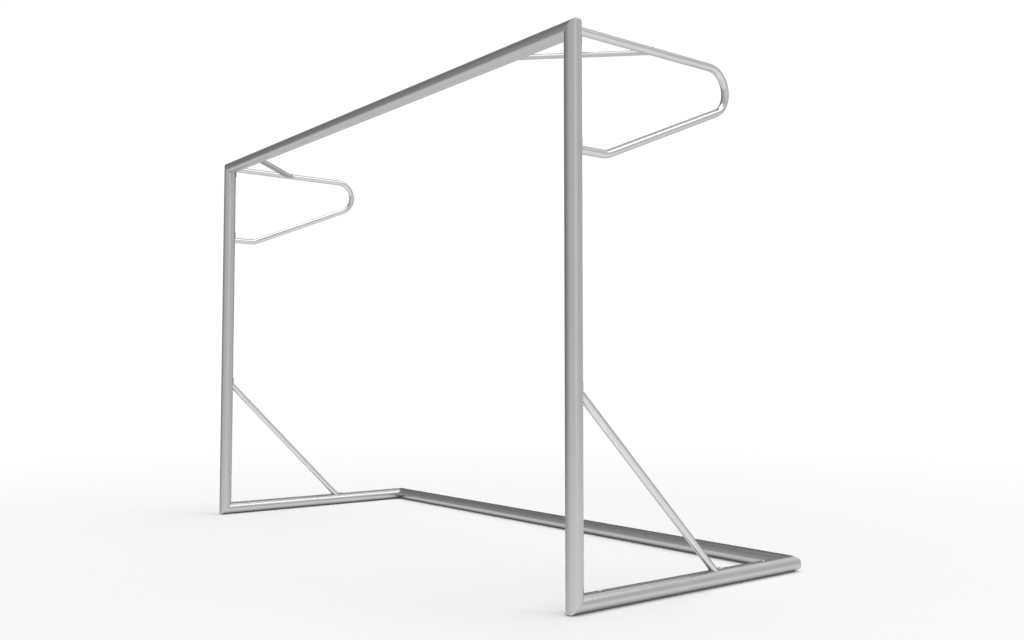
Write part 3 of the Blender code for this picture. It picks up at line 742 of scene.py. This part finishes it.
def lugSeats():
    # each lug's origin on its rail, way along it and outward normal, and half the tube's end along and across
    seats = {}
    railY = frontY + goal["railFace"]
    railZ = groundZ + goal["railFace"]
    radius = goal["tubeRadius"]
    slant = math.atan2(brace["lowRun"], brace["lowRise"])
    spread = math.atan2(brace["topRun"], brace["topSpread"])
    for word, side in sides:
        x = side * sideX
        seats[word + "_bracket_top"] = ((x, railY, legZ), -axisZ, axisY, radius, radius)
        seats[word + "_bracket_stub"] = ((x, railY, stubZ), axisZ, axisY, radius, radius)
        seats[word + "_lower_brace_top"] = ((x, railY, railZ + brace["lowRise"]), axisZ, axisY,
                                            radius / math.sin(slant), radius)
        seats[word + "_lower_brace_foot"] = ((x, railY + brace["lowRun"], railZ), axisY, axisZ,
                                             radius / math.cos(slant), radius)
        halfBrace = (brace["topWidth"] / 2 - brace["topShift"]) / math.sin(spread)
        seats[word + "_top_brace"] = ((x - side * brace["topSpread"], railY, topZ), -side * axisX, axisY,
                                      halfBrace, brace["topHeight"] / 2)
    return seats


def lugEdge(place, halfAlong, halfAcross):
    # height of a lug's lower edge at a sideways place: the ellipse of the tube's end, or straight past it
    along, across = halfAlong + goal["gap"], halfAcross + goal["gap"]
    if across <= lug["half"]:
        return np.full(np.shape(place), along)
    return along * np.sqrt(1 - (np.asarray(place) / across) ** 2)


def lugMesh(name, origin, along, normal, halfAlong, halfAcross):
    # a plate with a round end and a hole: eight loops run up its side, over its top, down the hole and back
    half, reach = lug["half"], lug["reach"]
    side = np.linspace(lugEdge(half, halfAlong, halfAcross), reach, lug["sideSteps"] + 1)
    right = np.column_stack([np.full(len(side), half), side])[:-1]
    end = arc(half, 0, math.pi, lug["endSteps"], (0, reach))
    left = (right * (-1, 1))[::-1]
    places = np.linspace(-half, half, lug["footSteps"] + 1)[1:-1]
    foot = np.column_stack([places, lugEdge(places, halfAlong, halfAcross)])
    outline = np.concatenate([right, end, left, foot])
    angle = np.arctan2(outline[:, 1] - reach, outline[:, 0])
    edge = lug["edge"]
    circle = np.column_stack([np.cos(angle), np.sin(angle)])
    hole = circle * lug["holeRadius"] + (0, reach)
    wideHole = circle * (lug["holeRadius"] + edge) + (0, reach)
    small = inset(outline, edge)
    low, high = goal["gap"], goal["gap"] + lug["thick"]
    loops = [(small, low), (outline, low + edge), (outline, high - edge), (small, high),
             (wideHole, high), (hole, high - edge), (hole, low + edge), (wideHole, low)]
    rows = np.stack([np.column_stack([loop, np.full(len(loop), level)]) for loop, level in loops])
    wear = np.zeros(rows.shape[:2])
    wear[:6] = lug["edgeWear"]
    # a flat map from above, so that the plate's lines run along it
    points = rows.reshape(-1, 3)
    quads = gridQuads(len(rows), len(outline), True)
    maps = points[quads.ravel(), :2]
    axes = axesAt(normal, along)
    return makeMesh(name, placed(points, origin, axes), quads, maps, wear.ravel())


bolt = {
    "radius": 0.003,
    "pitch": 0.001,
    "threadDepth": 0.00045,
    "tip": 0.0009,              # taper at the shank's tip
    "neck": 0.0003,             # plain stretch under the head
    "headRadius": 0.006,
    "headEdge": 0.0002,
    "lugHead": 0.003,
    "screwHead": 0.002,
    "rimShare": 0.35,           # of the head's height up to where the dome starts
    "domeSteps": 9,
    "socket": 0.0040,           # across the flats of the drive
    "socketShare": 0.6,         # of the head's height that the socket is deep
    "socketEdge": 0.0002,
    "socketLand": 0.0003,       # from the dome's inner edge to the socket's corners
    "socketCone": 0.0004,
    "socketWear": 0.6,
    "pole": 0.00001,            # radius of the smallest ring
    "columns": 48,
    "rowsPerTurn": 6,
}


def boltMesh(name, origin, normal, up, headHeight, shank):
    # A low domed head with a six-sided socket over a threaded shank, turned about its axis. The dome's radius
    # falls as a sine while its height rises as a cosine, the socket's radius is that of a hexagon, and the
    # thread's radius is a triangle wave of height less the turn about the axis.
    turn = np.linspace(0, 2 * math.pi, bolt["columns"], endpoint=False)
    head, half, edge = bolt["headRadius"], bolt["socket"] / 2, bolt["socketEdge"]
    sector = math.pi / 3
    hexagon = half / np.cos((turn + sector / 2) % sector - sector / 2)
    mouth = half / math.cos(sector / 2) + bolt["socketLand"]
    depth = headHeight * bolt["socketShare"]
    rim = headHeight * bolt["rimShare"]
    rows = [(bolt["pole"], -shank), (bolt["radius"] - bolt["tip"], -shank)]
    threaded = shank - bolt["tip"] - bolt["neck"]
    count = int(round(threaded / bolt["pitch"] * bolt["rowsPerTurn"]))
    for z in np.linspace(-shank + bolt["tip"], -bolt["neck"], count):
        phase = (z / bolt["pitch"] - turn / (2 * math.pi)) % 1.0
        rows.append((bolt["radius"] - bolt["threadDepth"] * np.abs(2 * phase - 1), z))
    rows += [(bolt["radius"], 0.0), (head - bolt["headEdge"], 0.0), (head, bolt["headEdge"])]
    start = math.asin(min(mouth / head, 1.0))
    for angle in np.linspace(math.pi / 2, start, bolt["domeSteps"]):
        rows.append((head * math.sin(angle), rim + (headHeight - rim) * math.cos(angle) / math.cos(start)))
    rows += [(hexagon + 0.4 * edge, headHeight - 0.3 * edge), (hexagon, headHeight - edge),
             (hexagon, headHeight - depth), (bolt["pole"], headHeight - depth - bolt["socketCone"])]
    radii = np.stack([np.broadcast_to(radius, turn.shape) for radius, level in rows])
    levels = np.array([level for radius, level in rows])
    heights = np.broadcast_to(levels[:, None], radii.shape)
    points = np.stack([radii * np.cos(turn), radii * np.sin(turn), heights], axis=-1)
    quads = gridQuads(len(rows), len(turn), False)
    run = np.concatenate([[0.0], np.cumsum(np.hypot(np.diff(radii.mean(1)), np.diff(levels)))])
    # the lines run round the axis: u follows the profile and v the turn
    around = np.linspace(0, 2 * math.pi * bolt["radius"], len(turn) + 1)
    maps = gridMaps(around, run)[:, ::-1]
    ends = np.array([[0, k + 1, k] for k in range(1, len(turn) - 1)])
    last = (len(rows) - 1) * len(turn)
    caps = np.concatenate([ends, ends[:, ::-1] + last])
    flat = points.reshape(-1, 3)
    wear = np.zeros(radii.shape)
    wear[-7:-2] = bolt["socketWear"]
    return makeMesh(name, placed(flat, origin, axesAt(normal, up)), quads, maps, wear.ravel(), caps,
                    flat[caps.ravel(), :2])


def makeLugs():
    lipDepth = bar["lip"] + bar["pocketDepth"]
    seat = 2 * goal["gap"] + lug["thick"]
    for node, (origin, along, normal, *halves) in lugSeats().items():
        plate, fastener = node + "_lug", node + "_bolt"
        mesh = lugMesh(pieceName(plate), origin, along, normal, *halves)
        addPiece(plate, mesh, finish["plateSatin"])
        place = np.asarray(origin) + lug["reach"] * along + seat * normal
        shank = seat + lipDepth - goal["gap"]
        mesh = boltMesh(pieceName(fastener), place, normal, along, bolt["lugHead"], shank)
        addPiece(fastener, mesh, finish["brightSteel"])
    print("lugs and bolts made")


screw = {
    "frontReach": 0.148,        # from the posts' front to the side bar's front screw
    "rearReach": 0.214,         # from the rear bar's back to the side bar's rear screw
    "topReach": 0.148,          # from the post's outside to the crossbar's screw
    "elbowWall": 0.003,
    "tip": 0.003,               # how far a corner's screw goes past its elbow's wall
    "braceTip": 0.0015,         # and a top brace's screw past the tongue
}


def makeScrews():
    railY = frontY + goal["railFace"] + goal["gap"]
    railZ = groundZ + goal["railFace"] + goal["gap"]
    halfDepth = goal["groundDepth"] / 2
    through = bar["lip"] + bar["pocketDepth"] + bar["pocketWall"] + screw["elbowWall"] + 2 * goal["gap"]
    corner = through + screw["tip"]
    tongue = brace["topHeight"] / 2 - brace["topWall"] - goal["gap"]
    braceReach = goal["tubeRadius"] + brace["topDrop"] + tongue + goal["gap"] + screw["braceTip"]
    for word, side in sides:
        x = side * sideX
        topX = x + side * (goal["barRadius"] - screw["topReach"])
        # each screw: where its head sits, its way out, the way up about it and its shank's length
        places = {
            "_front_screw": ((x, screw["frontReach"] - halfDepth, railZ), axisZ, axisY, corner),
            "_rear_screw": ((x, halfDepth - screw["rearReach"], railZ), axisZ, axisY, corner),
            "_top_screw": ((topX, railY, topZ), axisY, axisZ, corner),
            "_top_brace_screw": ((x, frontY + goal["railFace"] + brace["topRun"],
                                  legZ + goal["tubeRadius"] + goal["gap"]), axisZ, axisY, braceReach),
        }
        for ending, (origin, normal, up, shank) in places.items():
            node = word + ending
            mesh = boltMesh(pieceName(node), origin, normal, up, bolt["screwHead"], shank)
            addPiece(node, mesh, finish["brightSteel"])
    print("screws made")


makeLugs()
makeScrews()


def dressInnerPieces():
    # the elbows, tongues and nuts keep their solids and get a dull finish
    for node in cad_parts:
        part = bpy.data.objects.get(node)
        if part is None or part.hide_render:
            continue
        part.data.materials.clear()
        part.data.materials.append(finish["nutSteel"] if node.endswith("_nut") else finish["castDull"])
    print("inner pieces dressed")


dressInnerPieces()


studio = {
    "floorHalf": 60.0,
    "floorGrey": 0.97,
    "fadeStart": 1.2,           # from the goal's middle to where the camera's floor starts to fade to white
    "fadeEnd": 7.0,
    "floorRough": 0.9,
    "paintedShadowReach": 0.4,          # how far off a piece still casts a painted shadow on the ground that the metal sees
    "paintedShadowRange": (0.13, 0.78),  # open share of that ground where it is darkest, and where it is unchanged
    "paintedShadowDark": 0.1,
}

# The studio that the metal reflects, as levels of grey, with azimuths from +X towards +Y, in degrees.
sky = {
    "below": 0.96,              # the lit ground
    "belowSwing": 0.12,         # brighter towards one side, darker away from it
    "belowMiddle": -15.0,
    "horizon": (-10.0, -2.0),   # elevations between which the ground gives way to the walls
    "low": 0.72,                # the walls
    "high": 0.58,               # and the ceiling
    "highRise": (15.0, 55.0),
    "dark": 0.24,               # the unlit side of the room
    "darkMiddle": 185.0,
    "darkNear": (-47.0, -37.0),  # its sharp edge, from its middle
    "darkFar": (12.0, 90.0),    # its soft edge
    "darkFoot": (-16.0, -3.0),
    "darkHead": (50.0, 66.0),
}
# Each lamp in the sky: azimuth, elevation, radius of its middle, radius of its rim, level.
skyLamps = [
    (130.0, 20.0, 14.0, 32.0, 0.28),
    (92.0, 43.0, 12.0, 30.0, 0.95),
    (-70.0, -80.0, 13.0, 28.0, 1.35),
    (-8.0, 10.0, 8.0, 24.0, 0.98),
    (38.0, 46.0, 9.0, 16.0, 2.4),
    (0.0, 90.0, 14.0, 25.0, 3.35),
]


def makeFloor():
    half = studio["floorHalf"]
    mesh = bpy.data.meshes.new("floor")
    corners = [(-half, -half, 0), (half, -half, 0), (half, half, 0), (-half, half, 0)]
    mesh.from_pydata(corners, [], [(0, 1, 2, 3)])
    floor = bpy.data.objects.new("floor", mesh)
    bpy.context.scene.collection.objects.link(floor)
    material = bpy.data.materials.new("floorPaint")
    nodes = Nodes(material)
    nodes.shader.inputs["Base Color"].default_value = (studio["floorGrey"],) * 3 + (1.0,)
    nodes.shader.inputs["Roughness"].default_value = studio["floorRough"]
    nodes.shader.inputs["Specular IOR Level"].default_value = 0.0
    # far from the goal the camera sees plain white
    place = nodes.add("TexCoord").outputs["Object"]
    distance = nodes.add("VectorMath", {0: place}, operation='LENGTH').outputs["Value"]
    fade = nodes.ramp(distance, 0.0, 1.0, studio["fadeStart"], studio["fadeEnd"], 'SMOOTHSTEP')
    white = nodes.add("Emission", {"Color": (1, 1, 1, 1), "Strength": 1.0})
    # the metal sees the sky's lower half with a painted shadow where a piece stands close above the ground
    bare = nodes.add("AmbientOcclusion", {"Distance": studio["paintedShadowReach"]}).outputs["AO"]
    paintedShadow = nodes.ramp(bare, studio["paintedShadowDark"], 1.0, *studio["paintedShadowRange"], 'SMOOTHSTEP')
    clear = nodes.add("BsdfTransparent", {"Color": paintedShadow})
    toWhite = nodes.add("MixShader", {"Fac": nodes.product(fade, nodes.seenBy("Camera")),
                                      1: nodes.shader.outputs["BSDF"], 2: white.outputs["Emission"]})
    toClear = nodes.add("MixShader", {"Fac": nodes.seenBy("Glossy", "Transmission"),
                                      1: toWhite.outputs["Shader"], 2: clear.outputs["BSDF"]})
    nodes.tree.links.new(toClear.outputs["Shader"], nodes.tree.nodes["Material Output"].inputs["Surface"])
    mesh.materials.append(material)
    print("floor made")


def makeSky():
    # White for the camera. For all other rays the level goes from below to low across the horizon and on to
    # high, is drawn to dark by the product of four ramps of azimuth and elevation, and to each lamp's level
    # by a ramp of the cosine of the angle from the lamp's middle.
    world = bpy.data.worlds.new("sky")
    bpy.context.scene.world = world
    nodes = Nodes(world)
    way = nodes.add("TexCoord").outputs["Generated"]
    rise = nodes.math('DEGREES', nodes.math('ARCSINE', nodes.dot(way, (0, 0, 1))))
    middle = math.radians(sky["darkMiddle"])
    aside = nodes.dot(way, (-math.sin(middle), math.cos(middle), 0))
    ahead = nodes.dot(way, (math.cos(middle), math.sin(middle), 0))
    turn = nodes.math('DEGREES', nodes.math('ARCTAN2', aside, ahead))
    level = nodes.blend(nodes.ramp(rise, 0, 1, *sky["highRise"], 'SMOOTHSTEP'), sky["low"], sky["high"])
    dark = nodes.product(nodes.ramp(turn, 0, 1, *sky["darkNear"], 'SMOOTHSTEP'),
                         nodes.ramp(turn, 1, 0, *sky["darkFar"]))
    dark = nodes.product(dark, nodes.ramp(rise, 0, 1, *sky["darkFoot"], 'SMOOTHSTEP'))
    dark = nodes.product(dark, nodes.ramp(rise, 1, 0, *sky["darkHead"], 'SMOOTHSTEP'))
    swing = math.radians(sky["belowMiddle"])
    towards = nodes.dot(way, (sky["belowSwing"] * math.cos(swing), sky["belowSwing"] * math.sin(swing), 0))
    lower = nodes.total(towards, sky["below"])
    level = nodes.blend(nodes.ramp(rise, 0, 1, *sky["horizon"], 'SMOOTHSTEP'), lower, level)
    level = nodes.blend(dark, level, sky["dark"])
    for azimuth, elevation, inside, outside, lampLevel in skyLamps:
        flat = math.cos(math.radians(elevation))
        aim = (flat * math.cos(math.radians(azimuth)), flat * math.sin(math.radians(azimuth)),
               math.sin(math.radians(elevation)))
        lit = nodes.ramp(nodes.dot(way, aim), 0, 1, math.cos(math.radians(outside)),
                         math.cos(math.radians(inside)), 'SMOOTHSTEP')
        level = nodes.blend(lit, level, lampLevel)
    nodes.tree.links.new(nodes.blend(nodes.seenBy("Camera"), level, 1.0), nodes.shader.inputs["Strength"])
    nodes.shader.inputs["Color"].default_value = (1, 1, 1, 1)
    print("sky made")


makeFloor()
makeSky()

bpy.context.scene.view_settings.view_transform = 'Standard'
